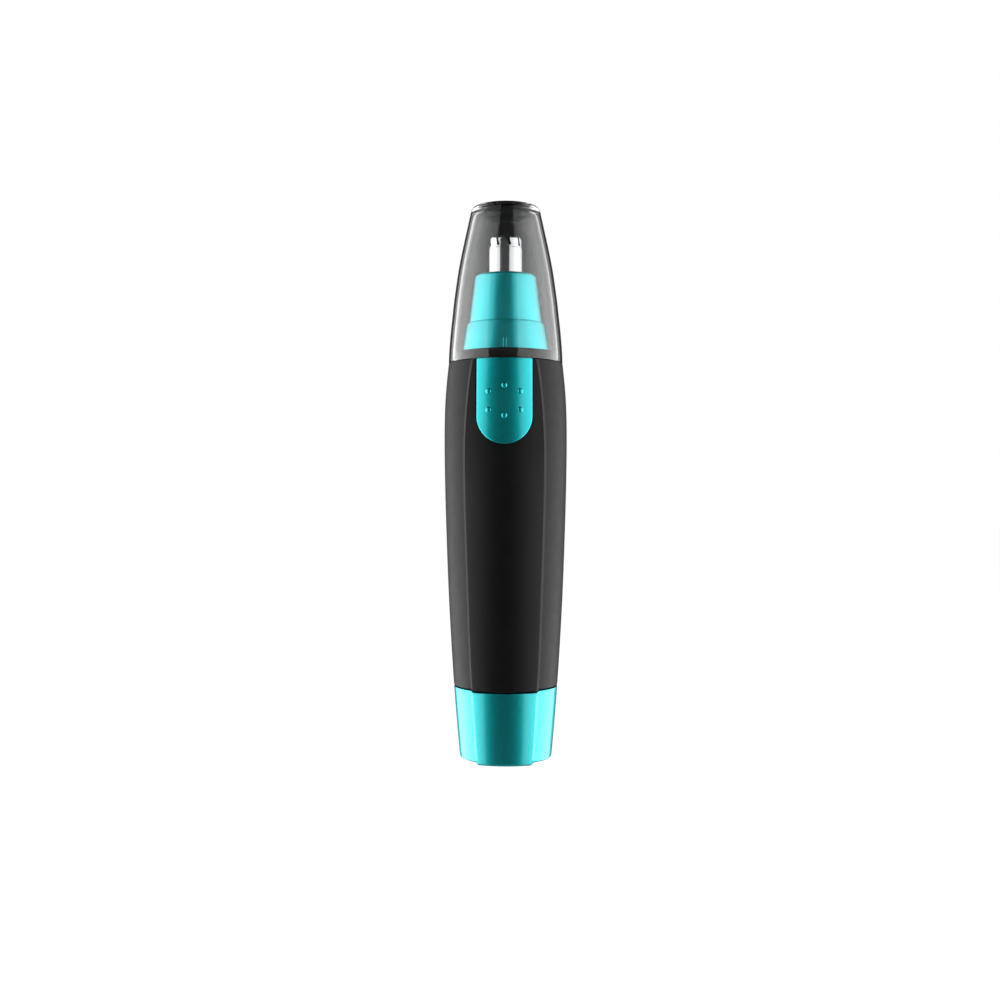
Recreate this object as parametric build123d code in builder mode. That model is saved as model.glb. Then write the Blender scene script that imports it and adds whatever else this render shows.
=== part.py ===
from build123d import *
from math import asin, cos, degrees, pi, radians, sin, sqrt
import os

os.makedirs("parts", exist_ok=True)

# ---------------------------------------------------------------------------
# Battery nose hair trimmer, standing on its base.
# Row frame: +Z up along the tool's axis, front (switch side) towards -Y,
# origin on the axis at the underside of the base cap. Millimetres.
# ---------------------------------------------------------------------------

# Handle outline, one row per height:
# z, radius of the round sides, half width of the raised panel at its edge,
# how far the panel's middle stands proud of that radius, panel radius / side radius
HANDLE = [
    (0.0, 11.10, 6.42, 2.25, 1.25),
    (3.0, 11.40, 6.62, 2.23, 1.25),
    (7.0, 11.76, 6.89, 2.20, 1.25),
    (12.0, 12.17, 7.21, 2.15, 1.25),
    (17.3, 12.57, 7.53, 2.08, 1.25),
    (23.0, 12.96, 7.84, 1.98, 1.25),
    (30.0, 13.38, 8.14, 1.86, 1.25),
    (38.0, 13.80, 8.42, 1.71, 1.25),
    (46.0, 14.14, 8.69, 1.55, 1.25),
    (54.0, 14.42, 8.95, 1.39, 1.25),
    (62.0, 14.66, 9.18, 1.22, 1.25),
    (70.0, 14.83, 9.30, 1.05, 1.25),
    (76.0, 14.89, 9.26, 0.91, 1.245),
    (81.0, 14.86, 9.02, 0.77, 1.235),
    (86.0, 14.70, 8.64, 0.58, 1.215),
    (91.0, 14.32, 8.08, 0.33, 1.18),
    (95.5, 13.85, 7.42, 0.05, 1.13),
]
STEP_RUN = 0.50          # sideways run of the sloped wall at a panel's edge
WALL = 1.9               # housing wall

# Base cap, housing and seam heights
Z_BASE_TOP = 17.2
Z_HOUSING_BOTTOM = 17.4
Z_HOUSING_TOP = 95.5
BASE_EDGE_R = 0.8
BASE_FLOOR = 1.85

# Protective cap
CAP_RIM = 95.62
CAP_TOP = 133.65
CAP_WALL = 1.3
CAP_CEILING = 132.0
CAP_CEILING_R = 7.25      # inner radius where the wall would meet the ceiling
CAP_TOP_EDGE_R, CAP_CEILING_EDGE_R = 2.3, 2.0
CAP_OUT = [
    (13.84, 95.62), (13.74, 98.4), (13.55, 100.9), (13.31, 103.6), (13.0, 106.4),
    (12.62, 110.0), (12.14, 113.6), (11.55, 117.6), (10.85, 121.4), (10.05, 125.2),
    (9.25, 128.8), (8.72, 131.2), (8.20, 133.65),
]

# Cutter head
COLLAR_Z0, COLLAR_Z1 = 98.15, 104.9
COLLAR_R0, COLLAR_R1 = 10.55, 9.45
CONE_Z0, CONE_Z1 = 105.1, 116.8
CONE_R0, CONE_R1 = 8.88, 7.46
SKIRT_R, SKIRT_BORE = 8.6, 7.15
TUBE_R, TUBE_WALL, TUBE_TIP = 4.12, 0.3, 126.2
TIP_R, TIP_Z0 = 4.0, 123.3     # the slotted tip is turned down a little
SLOT_COUNT, SLOT_FIRST = 9, -78.9
SPIGOT_R = 7.0
BLADE_R = TIP_R - TUBE_WALL - 0.07

# Switch
TONGUE_W, TONGUE_TOP, TONGUE_ARC_Z = 13.0, 95.45, 81.8
TONGUE_PROUD = 0.90
TONGUE_GAP = 0.12
SWITCH_TRAVEL = 3.0
DOT_R, DOT_HEIGHT = 0.67, 0.38

# Battery (AA) and motor
CELL_R, CELL_Z0, CELL_Z1, NUB_Z = 7.25, 8.0, 57.5, 58.5
MOTOR_W, MOTOR_D, MOTOR_Z0, MOTOR_Z1 = 20.1, 15.1, 61.5, 86.5
SHAFT_R = 1.0


def panel_edge(row):
    z, r, w, p, k = row
    rp = k * r
    return r + p - rp + sqrt(rp * rp - w * w)


# --------------------------- handle outer solid ----------------------------
with BuildPart() as handle:
    for row in HANDLE:
        z, r, w, p, k = row
        ye = panel_edge(row)
        xf = w + STEP_RUN
        yf = sqrt(r * r - xf * xf)
        with BuildSketch(Plane.XY.offset(z)):
            with BuildLine():
                ThreePointArc((xf, -yf), (r, 0), (xf, yf))
                Line((xf, yf), (w, ye))
                ThreePointArc((w, ye), (0, r + p), (-w, ye))
                Line((-w, ye), (-xf, yf))
                ThreePointArc((-xf, yf), (-r, 0), (-xf, -yf))
                Line((-xf, -yf), (-w, -ye))
                ThreePointArc((-w, -ye), (0, -(r + p)), (w, -ye))
                Line((w, -ye), (xf, -yf))
            make_face()
    loft()

# --------------------------------- base cap --------------------------------
with BuildPart() as base_cap:
    add(handle.part)
    split(bisect_by=Plane.XY.offset(Z_BASE_TOP), keep=Keep.BOTTOM)
    fillet(base_cap.faces().sort_by(Axis.Z)[0].edges(), BASE_EDGE_R)
    with BuildSketch(Plane.XY.offset(9.8)):
        Circle(10.95)
    extrude(amount=10, mode=Mode.SUBTRACT)
    with BuildSketch(Plane.XY.offset(BASE_FLOOR)):
        Circle(9.55)
    extrude(amount=10, mode=Mode.SUBTRACT)
    # groove of the seal ring
    with BuildSketch(Plane.XY.offset(13.85)):
        Circle(11.58)
    extrude(amount=0.9, mode=Mode.SUBTRACT)
    # key that limits the quarter turn, at the back of the bore
    with BuildSketch(Plane.XY.offset(9.7)):
        with Locations((0, 10.75)):
            Rectangle(1.6, 1.2)
    extrude(amount=3.1)
    # two shallow finger marks under the base
    with BuildSketch(Plane.XY):
        with Locations((0, 4.2), (0, -4.2)):
            SlotOverall(8.0, 1.2)
    extrude(amount=0.35, mode=Mode.SUBTRACT)
base_cap.part.label = "base_cap"
export_step(base_cap.part, "parts/base_cap.step")

with BuildPart() as base_o_ring:
    with Locations((0, 0, 14.3)):
        Torus(11.2, 0.34)
base_o_ring.part.label = "base_o_ring"
export_step(base_o_ring.part, "parts/base_o_ring.step")

with BuildPart() as base_contact:
    with BuildSketch(Plane.XZ):
        with BuildLine():
            Polyline((0, 1.9), (9.5, 1.9), (9.5, 9.6), (9.2, 9.6), (9.2, 2.25), (0, 2.25), close=True)
        make_face()
    revolve(axis=Axis.Z)
base_contact.part.label = "base_contact"
export_step(base_contact.part, "parts/base_contact.step")

with BuildPart() as battery_spring:
    with BuildLine() as coil:
        Helix(pitch=1.55, height=5.0, radius=4.6, center=(0, 0, 2.62), cone_angle=-14)
    with BuildSketch(Plane(origin=coil.line @ 0, z_dir=coil.line % 0)):
        Circle(0.35)
    sweep(path=coil.line)
battery_spring.part.label = "battery_spring"
export_step(battery_spring.part, "parts/battery_spring.step")

# --------------------------------- battery ---------------------------------
with BuildPart() as battery_cell:
    with BuildSketch(Plane.XZ):
        with BuildLine():
            Polyline(
                (0, CELL_Z0), (6.2, CELL_Z0), (6.2, CELL_Z0 + 0.25), (7.1, CELL_Z0 + 0.25),
                (7.1, CELL_Z1), (2.75, CELL_Z1), (2.75, NUB_Z), (0, NUB_Z), close=True,
            )
        make_face()
    revolve(axis=Axis.Z)
    fillet(battery_cell.edges().filter_by(GeomType.CIRCLE).group_by(Axis.Z)[-1], 0.3)
battery_cell.part.label = "battery_cell"
export_step(battery_cell.part, "parts/battery_cell.step")

with BuildPart() as battery_sleeve:
    with BuildSketch(Plane.XY.offset(CELL_Z0 + 0.4)):
        Circle(CELL_R)
        Circle(7.1, mode=Mode.SUBTRACT)
    extrude(amount=CELL_Z1 - CELL_Z0 - 0.6)
battery_sleeve.part.label = "battery_sleeve"
export_step(battery_sleeve.part, "parts/battery_sleeve.step")

TONGUE_ROWS = [row for row in HANDLE if row[0] > 69]


def tongue_depth(x, z):
    """Depth of the tongue's outer face in front of the axis at x, z."""
    rows = TONGUE_ROWS
    for a, b in zip(rows, rows[1:]):
        if a[0] <= z <= b[0]:
            t = (z - a[0]) / (b[0] - a[0])
            r, p, k = (a[i] + (b[i] - a[i]) * t for i in (1, 3, 4))
            rp = k * r + TONGUE_PROUD
            return r + p + TONGUE_PROUD - rp + sqrt(rp * rp - x * x)


# how deep the switch's bed lies under the panel's surface at each of those heights;
# negative rows keep the bed's surface clear of the panel below the bed's lower end
BED_DEPTH = {70.0: -0.34, 76.0: -0.22, 81.0: -0.07, 86.0: 0.14, 91.0: 0.36, 95.5: 0.60}

with BuildPart() as bed_core:
    for z, r, w, p, k in TONGUE_ROWS:
        h = 8.2
        g = -BED_DEPTH[z]
        ye = r + p - k * r + sqrt((k * r + g) ** 2 - h * h)
        with BuildSketch(Plane.XY.offset(z)):
            with BuildLine():
                ThreePointArc((-h, -ye), (0, -(r + p + g)), (h, -ye))
                Polyline((h, -ye), (h, -5), (-h, -5), (-h, -ye))
            make_face()
    loft()

# the bed's cutter: the tongue's outline with a small gap all round, outside the bed's surface
with BuildPart() as bed_cutter:
    with BuildSketch(Plane.XZ.offset(9)):
        with Locations((0, (96 + TONGUE_ARC_Z) / 2)):
            Rectangle(TONGUE_W + 0.5, 96 - TONGUE_ARC_Z)
        with Locations((0, TONGUE_ARC_Z)):
            Circle(TONGUE_W / 2 + 0.25)
    extrude(amount=9)
    add(bed_core.part, mode=Mode.SUBTRACT)
    with BuildSketch(Plane.XY.offset(95.45)):
        Rectangle(40, 40)
    extrude(amount=2, mode=Mode.SUBTRACT)

# what the tongue's underside has to clear over its whole travel: the bed and the panel
# surface moved up by the travel, with a small gap
with BuildPart() as tongue_clear:
    for z, r, w, p, k in TONGUE_ROWS:
        h = 8.2
        g = TONGUE_GAP - max(0.0, BED_DEPTH[z])
        ye = r + p - k * r + sqrt((k * r + g) ** 2 - h * h)
        with BuildSketch(Plane.XY.offset(z + SWITCH_TRAVEL)):
            with BuildLine():
                ThreePointArc((-h, -ye), (0, -(r + p + g)), (h, -ye))
                Polyline((h, -ye), (h, -5), (-h, -5), (-h, -ye))
            make_face()
    loft()

# ------------------------------- housing -----------------------------------
cavity_rows = [row for row in HANDLE if 20 < row[0] < 92]
with BuildPart() as housing:
    add(handle.part)
    split(bisect_by=Plane.XY.offset(Z_HOUSING_BOTTOM), keep=Keep.TOP)
    with BuildSketch(Plane.XZ):
        with BuildLine():
            side = Spline(
                [(10.77, 18.95)] + [(r - WALL, z) for z, r, w, p, k in cavity_rows] + [(12.08, 94.0)]
            )
            Polyline(
                side @ 1, (10.45, 94.0), (10.45, 97), (0, 97), (0, 15), (9.65, 15), (9.65, 18.95), side @ 0
            )
        make_face()
    revolve(axis=Axis.Z, mode=Mode.SUBTRACT)
    # shadow groove along the parting line of the two halves
    with BuildSketch(Plane.XZ):
        with BuildLine():
            for s in (1, -1):
                outer = Spline([(s * (row[1] + 0.4), row[0]) for row in HANDLE[4:]])
                inner = Spline([(s * (row[1] - 0.22), row[0]) for row in HANDLE[4:]])
                Line(outer @ 0, inner @ 0)
                Line(outer @ 1, inner @ 1)
        make_face()
    extrude(amount=0.11, both=True, mode=Mode.SUBTRACT)

with BuildPart() as housing_front:
    add(housing.part)
    split(bisect_by=Plane.XZ, keep=Keep.TOP)
    # shallow bed under the switch tongue
    add(bed_cutter.part, mode=Mode.SUBTRACT)
    # slot of the switch stem
    with BuildSketch(Plane.XZ.offset(8)):
        with Locations((0, 84.5)):
            Rectangle(3.4, 6.6)
    extrude(amount=10, mode=Mode.SUBTRACT)
    # bosses of the frame screws
    with BuildSketch(Plane.XZ.offset(6.1)):
        with Locations((8, 90.4), (-8, 90.4)):
            Circle(1.7)
    extrude(amount=4.4)
    with BuildSketch(Plane.XZ.offset(6.0)):
        with Locations((8, 90.4), (-8, 90.4)):
            Circle(0.8)
    extrude(amount=3.9, mode=Mode.SUBTRACT)
housing_front.part.label = "housing_front"
export_step(housing_front.part, "parts/housing_front.step")

with BuildPart() as housing_rear:
    add(housing.part)
    split(bisect_by=Plane.XZ, keep=Keep.BOTTOM)
housing_rear.part.label = "housing_rear"
export_step(housing_rear.part, "parts/housing_rear.step")

# ------------------------- neck ring under the head -------------------------
with BuildPart() as neck_ring:
    with BuildSketch(Plane.XZ):
        with BuildLine():
            Polyline(
                (8.8, 92.4), (11.85, 92.4), (11.85, 93.9), (10.4, 93.9), (10.4, 95.55),
                (12.35, 95.55), (12.35, 97.7), (12.05, 98.0), (SPIGOT_R, 98.0),
                (SPIGOT_R, 102.3), (SPIGOT_R - 0.3, 102.6), (5.0, 102.6), (5.0, 101.0),
                (3.4, 101.0), (3.4, 96.6), (8.8, 96.6), close=True,
            )
        make_face()
    revolve(axis=Axis.Z)
neck_ring.part.label = "neck_ring"
export_step(neck_ring.part, "parts/neck_ring.step")

with BuildPart() as shaft_seal:
    with BuildSketch(Plane.XZ):
        with BuildLine():
            Polyline(
                (2.85, 101.0), (5.0, 101.0), (5.0, 102.4), (4.2, 102.4), (4.2, 101.6),
                (3.3, 101.6), (3.0, 102.3), (2.85, 102.3), close=True,
            )
        make_face()
    revolve(axis=Axis.Z)
shaft_seal.part.label = "shaft_seal"
export_step(shaft_seal.part, "parts/shaft_seal.step")

with BuildPart() as head_o_ring:
    with Locations((0, 0, 100.1)):
        Torus(7.45, 0.38)
head_o_ring.part.label = "head_o_ring"
export_step(head_o_ring.part, "parts/head_o_ring.step")

# ------------------------------ cutter head --------------------------------
with BuildPart() as head_cone:
    with BuildSketch(Plane.XZ):
        with BuildLine():
            Polyline(
                (SKIRT_BORE, 98.6), (SKIRT_R, 98.6), (SKIRT_R, CONE_Z0), (CONE_R0, CONE_Z0),
                (CONE_R1, CONE_Z1), (TUBE_R + 0.03, CONE_Z1), (TUBE_R + 0.03, 113.65), (6.2, 113.65), (6.2, 104.1),
                (SKIRT_BORE, 104.1), (SKIRT_BORE, 100.55), (7.88, 100.55), (7.88, 99.65),
                (SKIRT_BORE, 99.65), close=True,
            )
        make_face()
    revolve(axis=Axis.Z)
    top = head_cone.edges().filter_by(GeomType.CIRCLE).group_by(Axis.Z)[-1]
    fillet(top.sort_by(SortBy.LENGTH)[-1], 0.9)
    fillet(head_cone.edges().filter_by(GeomType.CIRCLE).group_by(Axis.Z)[-1].sort_by(SortBy.LENGTH)[0], 0.2)
head_cone.part.label = "head_cone"
export_step(head_cone.part, "parts/head_cone.step")

with BuildPart() as head_collar:
    with BuildSketch(Plane.XZ):
        with BuildLine():
            Polyline(
                (SKIRT_R + 0.02, COLLAR_Z0), (COLLAR_R0, COLLAR_Z0), (COLLAR_R1, COLLAR_Z1),
                (SKIRT_R + 0.02, COLLAR_Z1), close=True,
            )
        make_face()
    revolve(axis=Axis.Z)
    fillet(head_collar.edges().filter_by(GeomType.CIRCLE).group_by(Axis.Z)[-1].sort_by(SortBy.LENGTH)[-1], 0.2)
    # lock mark, a low rib at the front foot of the collar
    slope = (COLLAR_R0 - COLLAR_R1) / (COLLAR_Z1 - COLLAR_Z0)
    with BuildSketch(Plane(origin=(0, -(COLLAR_R0 - slope * 1.35) - 0.06, COLLAR_Z0 + 1.35), x_dir=(1, 0, 0), z_dir=(0, -1, slope))):
        SlotOverall(2.4, 0.8, rotation=90)
    extrude(amount=-0.7)
    # side grip fins with an upright outer edge
    with BuildSketch(Plane.XZ):
        with BuildLine():
            for s in (1, -1):
                Polyline(
                    (s * 8.9, COLLAR_Z0), (s * 10.6, COLLAR_Z0), (s * 9.9, 104.0),
                    (s * 9.6, 104.55), (s * 8.9, 104.7), close=True,
                )
        make_face()
    extrude(amount=0.35, both=True)
head_collar.part.label = "head_collar"
export_step(head_collar.part, "parts/head_collar.step")

with BuildPart() as cutter_tube:
    with BuildSketch(Plane.XZ):
        with BuildLine():
            Polyline(
                (TUBE_R - TUBE_WALL, 113.1), (5.8, 113.1), (5.8, 113.6), (TUBE_R, 113.6),
                (TUBE_R, TIP_Z0 - 0.1), (TIP_R, TIP_Z0), (TIP_R, TUBE_TIP), (0, TUBE_TIP), (0, TUBE_TIP - 0.35),
                (TIP_R - TUBE_WALL, TUBE_TIP - 0.35), (TIP_R - TUBE_WALL, TIP_Z0), (TUBE_R - TUBE_WALL, TIP_Z0 - 0.1), close=True,
            )
        make_face()
    revolve(axis=Axis.Z)
    fillet(cutter_tube.edges().filter_by(GeomType.CIRCLE).group_by(Axis.Z)[-1], 1.1)
    inner_top = cutter_tube.edges().filter_by(GeomType.CIRCLE).filter_by(lambda e: abs(e.center().Z - (TUBE_TIP - 0.35)) < 0.01)
    fillet(inner_top, 0.8)
    # hair slots: they start on the tip's face and lean down the wall to a round eye
    with Locations((0, 0, 125.35)):
        with PolarLocations(2.95, SLOT_COUNT, start_angle=SLOT_FIRST):
            Box(3.1, 0.56, 3.1, rotation=(9, 0, 0), mode=Mode.SUBTRACT)
    with Locations((0, 0, 123.85)):
        with PolarLocations(TUBE_R, SLOT_COUNT, start_angle=SLOT_FIRST + 3.2):
            Cylinder(0.37, 1.6, rotation=(0, 90, 0), mode=Mode.SUBTRACT)
cutter_tube.part.label = "cutter_tube"
export_step(cutter_tube.part, "parts/cutter_tube.step")

with BuildPart() as inner_blade:
    # two crossed plates whose upper edges sweep the inside of the slotted tip
    for turn in (25, 115):
        with BuildSketch(Plane.XZ.rotated((0, 0, turn))):
            with BuildLine():
                Polyline(
                    (-BLADE_R, 114.0), (-2.9, 114.0), (-2.9, 110.6), (2.9, 110.6), (2.9, 114.0),
                    (BLADE_R, 114.0), (BLADE_R, 124.9), (2.75, 125.78), (0.9, 125.78), (0.9, 122.0),
                    (-0.9, 122.0), (-0.9, 125.78), (-2.75, 125.78), (-BLADE_R, 124.9), close=True,
                )
            make_face()
        extrude(amount=0.22, both=True)
inner_blade.part.label = "inner_blade"
export_step(inner_blade.part, "parts/inner_blade.step")

PRONG_FROM, PRONG_SPAN = 27.5, 68.0
with BuildPart() as blade_carrier:
    with BuildSketch(Plane.XY.offset(107.0)):
        Circle(5.4)
    extrude(amount=1.0)
    with BuildSketch(Plane.XY.offset(108.0)):
        Circle(3.33)
    extrude(amount=5.4)
    # slots that hold the blade plates
    for turn in (25, 115):
        with BuildSketch(Plane.XZ.rotated((0, 0, turn))):
            with Locations((0, 112.2)):
                Rectangle(5.8, 3.2)
        extrude(amount=0.22, both=True, mode=Mode.SUBTRACT)
    # drive fork
    with BuildSketch(Plane.XY.offset(103.4)):
        with BuildLine():
            for base in (0, 180):
                a0, a1 = radians(base + PRONG_FROM), radians(base + PRONG_FROM + PRONG_SPAN)
                am = (a0 + a1) / 2
                o = ThreePointArc((3.4 * cos(a0), 3.4 * sin(a0)), (3.4 * cos(am), 3.4 * sin(am)), (3.4 * cos(a1), 3.4 * sin(a1)))
                i = ThreePointArc((1.9 * cos(a0), 1.9 * sin(a0)), (1.9 * cos(am), 1.9 * sin(am)), (1.9 * cos(a1), 1.9 * sin(a1)))
                Line(o @ 0, i @ 0)
                Line(o @ 1, i @ 1)
        make_face()
    extrude(amount=3.6)
blade_carrier.part.label = "blade_carrier"
export_step(blade_carrier.part, "parts/blade_carrier.step")

with BuildPart() as blade_spring:
    with BuildLine() as coil2:
        Helix(pitch=0.85, height=2.2, radius=4.35, center=(0, 0, 104.4))
    with BuildSketch(Plane(origin=coil2.line @ 0, z_dir=coil2.line % 0)):
        Circle(0.24)
    sweep(path=coil2.line)
blade_spring.part.label = "blade_spring"
export_step(blade_spring.part, "parts/blade_spring.step")

with BuildPart() as guide_bush:
    with BuildSketch(Plane.XY.offset(108.4)):
        Circle(6.15)
        Circle(3.4, mode=Mode.SUBTRACT)
    extrude(amount=4.65)
    with BuildSketch(Plane.XY.offset(108.3)):
        Circle(5.0)
        Circle(4.1, mode=Mode.SUBTRACT)
    extrude(amount=3.4, mode=Mode.SUBTRACT)
guide_bush.part.label = "guide_bush"
export_step(guide_bush.part, "parts/guide_bush.step")

with BuildPart() as head_retainer:
    with BuildSketch(Plane.XY.offset(103.0)):
        Circle(SKIRT_BORE)
        Circle(3.7, mode=Mode.SUBTRACT)
    extrude(amount=1.05)
head_retainer.part.label = "head_retainer"
export_step(head_retainer.part, "parts/head_retainer.step")

# ----------------------------- protective cap ------------------------------
with BuildPart() as protective_cap:
    with BuildSketch(Plane.XZ):
        with BuildLine():
            o = Spline(CAP_OUT)
            Polyline(o @ 1, (0, CAP_TOP + 0.05), (0, CAP_RIM), o @ 0)
        make_face()
    revolve(axis=Axis.Z)
    rim = protective_cap.edges().filter_by(GeomType.CIRCLE).group_by(Axis.Z)[-1]
    fillet(rim, CAP_TOP_EDGE_R)
    with BuildSketch(Plane.XZ):
        with BuildLine():
            i = Spline([(CAP_OUT[0][0] - CAP_WALL, CAP_RIM - 0.5)] + [(r - CAP_WALL, z) for r, z in CAP_OUT[1:-2]] + [(CAP_CEILING_R, CAP_CEILING)])
            Polyline(i @ 1, (0, CAP_CEILING + 0.25), (0, CAP_RIM - 0.5), i @ 0)
        make_face()
    inner = revolve(axis=Axis.Z, mode=Mode.PRIVATE)
    inner = inner.fillet(CAP_CEILING_EDGE_R, inner.edges().filter_by(GeomType.CIRCLE).group_by(Axis.Z)[-1])
    add(inner, mode=Mode.SUBTRACT)
protective_cap.part.label = "protective_cap"
export_step(protective_cap.part, "parts/protective_cap.step")

# --------------------------------- switch ----------------------------------
with BuildPart() as switch_button:
    for z, r, w, p, k in TONGUE_ROWS:
        h = 7.6
        rp = k * r + TONGUE_PROUD
        f = r + p + TONGUE_PROUD
        ye = f - rp + sqrt(rp * rp - h * h)
        with BuildSketch(Plane.XY.offset(z)):
            with BuildLine():
                ThreePointArc((-h, -ye), (0, -f), (h, -ye))
                Polyline((h, -ye), (h, -6), (-h, -6), (-h, -ye))
            make_face()
    loft()
    with BuildSketch(Plane.XZ.offset(7.5)) as tongue_outline:
        with Locations((0, (TONGUE_TOP + TONGUE_ARC_Z) / 2)):
            Rectangle(TONGUE_W, TONGUE_TOP - TONGUE_ARC_Z)
        with Locations((0, TONGUE_ARC_Z)):
            Circle(TONGUE_W / 2)
        fillet(tongue_outline.vertices().group_by(Axis.Y)[-1], 0.6)
    extrude(amount=12, mode=Mode.INTERSECT)
    outer_face = switch_button.faces().filter_by(lambda f: f.area > 150).sort_by(Axis.Y)[0]
    fillet(outer_face.edges(), 0.3)
    add(tongue_clear.part, mode=Mode.SUBTRACT)
    # grip dots, low and rounded, each square to the surface under it
    for x, z in ((0, 88.9), (0, 81.9), (3.73, 87.55), (-3.73, 87.55), (3.73, 83.2), (-3.73, 83.2)):
        lean_x = (tongue_depth(x + 0.3, z) - tongue_depth(x - 0.3, z)) / 0.6
        lean_z = (tongue_depth(x, z + 0.5) - tongue_depth(x, z - 0.5)) / 1.0
        dot = Plane(origin=(x, -tongue_depth(x, z), z), z_dir=(-lean_x, -1, -lean_z))
        with BuildSketch(dot.offset(-0.3)):
            Circle(DOT_R)
        extrude(amount=0.3 + DOT_HEIGHT)
        top = dot.origin + dot.z_dir * DOT_HEIGHT
        rim = switch_button.edges().filter_by(GeomType.CIRCLE).sort_by_distance(top)[0]
        fillet(rim, 0.26)
    # stem through the housing
    with BuildSketch(Plane.XZ.offset(10.1)):
        with Locations((0, 86.0)):
            Rectangle(3.0, 3.0)
    extrude(amount=5.5)
switch_button.part.label = "switch_button"
export_step(switch_button.part, "parts/switch_button.step")

with BuildPart() as switch_slider:
    with BuildSketch(Plane.XZ.offset(9.35)):
        with Locations((0, 85.0)):
            RectangleRounded(7.0, 8.0, 0.8)
    extrude(amount=2.25)
    with BuildSketch(Plane.XZ.offset(10.1)):
        with Locations((0, 86.0)):
            Rectangle(3.0, 3.0)
    extrude(amount=3, mode=Mode.SUBTRACT)
switch_slider.part.label = "switch_slider"
export_step(switch_slider.part, "parts/switch_slider.step")

with BuildPart() as switch_contact:
    with BuildSketch(Plane.XZ.offset(9.07)):
        with Locations((0, 83.0)):
            Rectangle(5.6, 1.8)
        with Locations((0, 85.0)):
            Rectangle(1.6, 5.0)
    extrude(amount=0.25)
switch_contact.part.label = "switch_contact"
export_step(switch_contact.part, "parts/switch_contact.step")

# ------------------------------ battery frame ------------------------------
with BuildPart() as battery_frame:
    with BuildSketch(Plane.XZ):
        with BuildLine():
            Polyline(
                (7.6, 10.0), (10.8, 10.0), (10.8, 17.35), (9.6, 17.35), (9.6, 19.0), (10.6, 19.0),
                (10.6, 20.5), (9.6, 20.5), (9.6, 55.6), (12.3, 55.6), (12.3, 57.0), (9.6, 57.0),
                (9.6, 58.4), (7.6, 58.4), close=True,
            )
        make_face()
    revolve(axis=Axis.Z)
    # window for the base cap's key: open downwards, its ends stop the turn
    with BuildSketch(Plane.XY.offset(9.9)):
        with BuildLine():
            a0, a1 = radians(84), radians(126)
            am = (a0 + a1) / 2
            o = ThreePointArc((11.2 * cos(a0), 11.2 * sin(a0)), (11.2 * cos(am), 11.2 * sin(am)), (11.2 * cos(a1), 11.2 * sin(a1)))
            i = ThreePointArc((9.95 * cos(a0), 9.95 * sin(a0)), (9.95 * cos(am), 9.95 * sin(am)), (9.95 * cos(a1), 9.95 * sin(a1)))
            Line(o @ 0, i @ 0)
            Line(o @ 1, i @ 1)
        make_face()
    extrude(amount=3.1, mode=Mode.SUBTRACT)
    # channel of the negative strip
    with BuildSketch(Plane.XY.offset(9)):
        with Locations((-1.8, -8.825)):
            Rectangle(2.6, 0.45)
    extrude(amount=50, mode=Mode.SUBTRACT)
    with BuildSketch(Plane.XY.offset(20.5)):
        with Locations((-1.8, -10.6)):
            Rectangle(2.6, 4.0)
    extrude(amount=40, mode=Mode.SUBTRACT)
    # finger window to push the cell out
    with BuildSketch(Plane.XZ.offset(-12)):
        with Locations((0, 38)):
            SlotOverall(26, 7, rotation=90)
    extrude(amount=12, mode=Mode.SUBTRACT)
battery_frame.part.label = "battery_frame"
export_step(battery_frame.part, "parts/battery_frame.step")

with BuildPart() as negative_strip:
    with BuildSketch(Plane.XY.offset(9.65)):
        with Locations((-1.8, -8.825)):
            Rectangle(2.4, 0.35)
    extrude(amount=75.0)
    with BuildSketch(Plane.XY.offset(9.65)):
        with Locations((-1.8, -8.4)):
            Rectangle(2.4, 1.2)
    extrude(amount=0.32)
negative_strip.part.label = "negative_strip"
export_step(negative_strip.part, "parts/negative_strip.step")

with BuildPart() as motor_strip:
    with BuildSketch(Plane.XY.offset(60.6)):
        with Locations((1.8, -8.825)):
            Rectangle(2.4, 0.35)
    extrude(amount=20.0)
    with BuildSketch(Plane.XY.offset(60.6)):
        with Locations((1.3, -7.375)):
            Rectangle(3.4, 3.25)
    extrude(amount=0.35)
motor_strip.part.label = "motor_strip"
export_step(motor_strip.part, "parts/motor_strip.step")

with BuildPart() as positive_contact:
    with BuildSketch(Plane.XY.offset(58.55)):
        with Locations((0, 1.05)):
            Rectangle(8.0, 10.1)
    extrude(amount=0.4)
    with BuildSketch(Plane.XY.offset(58.55)):
        with Locations((0, 5.93)):
            Rectangle(2.4, 0.3)
    extrude(amount=2.7)
positive_contact.part.label = "positive_contact"
export_step(positive_contact.part, "parts/positive_contact.step")

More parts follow.
